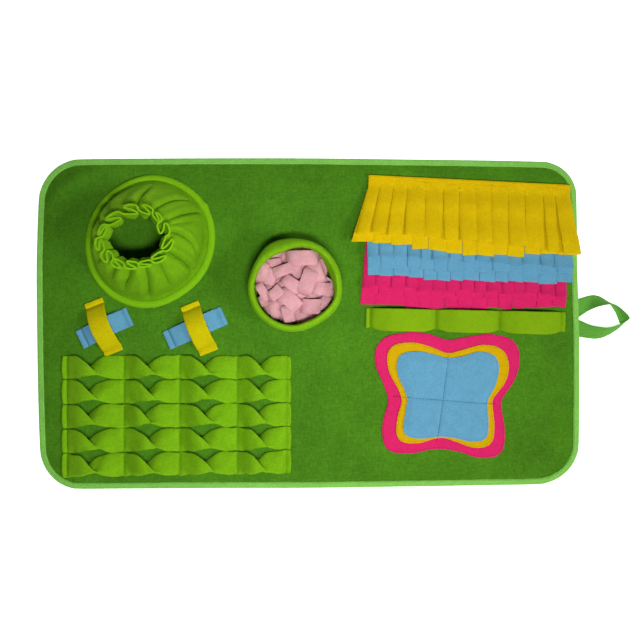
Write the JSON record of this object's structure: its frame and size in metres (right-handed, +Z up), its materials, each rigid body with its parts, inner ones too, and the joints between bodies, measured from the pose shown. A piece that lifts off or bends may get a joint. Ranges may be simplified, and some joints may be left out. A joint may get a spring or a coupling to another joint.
{
  "type": "snuffle mat",
  "caption": "Flat felt foraging mat for a pet, with a ruffled collar pocket, a filled cup, crossed straps, twisted strips, layered fringe, an arched band, a lobed patch and a hanging loop.",
  "frame": {"origin": "on the surface that the mat rests on, under the middle of the whole part, loop included", "axes": "+X along the mat towards the hanging loop, +Y towards the edge with the fringe, +Z up out of the face"},
  "size_m": [0.8673, 0.4875, 0.0953],
  "materials": {
    "mat_felt": "matt felt",
    "binding_tape": "woven tape",
    "fleece": "brushed fleece",
    "band_felt": "matt felt",
    "yellow_felt": "matt felt",
    "blue_felt": "matt felt",
    "pink_felt": "matt felt",
    "pale_pink_fleece": "brushed fleece"
  },
  "bodies": {
    "root": {"mat_base": "mat_felt", "edge_binding": "binding_tape", "hanging_loop": "binding_tape", "collar_pocket": "fleece", "cup_pocket": "fleece", "cup_fill": "pale_pink_fleece", "strap_left_lower": "blue_felt", "strap_left_upper": "yellow_felt", "strap_right_lower": "blue_felt", "strap_right_upper": "yellow_felt", "twist_strip_1": "fleece", "twist_strip_2": "fleece", "twist_strip_3": "fleece", "twist_strip_4": "fleece", "twist_strip_5": "fleece", "fringe_yellow_1": "yellow_felt", "fringe_yellow_2": "yellow_felt", "fringe_blue_1": "blue_felt", "fringe_blue_2": "blue_felt", "fringe_blue_3": "blue_felt", "fringe_pink_1": "pink_felt", "fringe_pink_2": "pink_felt", "fringe_pink_3": "pink_felt", "loop_band": "band_felt", "applique_pink": "pink_felt", "applique_yellow": "yellow_felt", "applique_blue": "blue_felt"}
  },
  "joints": []
}
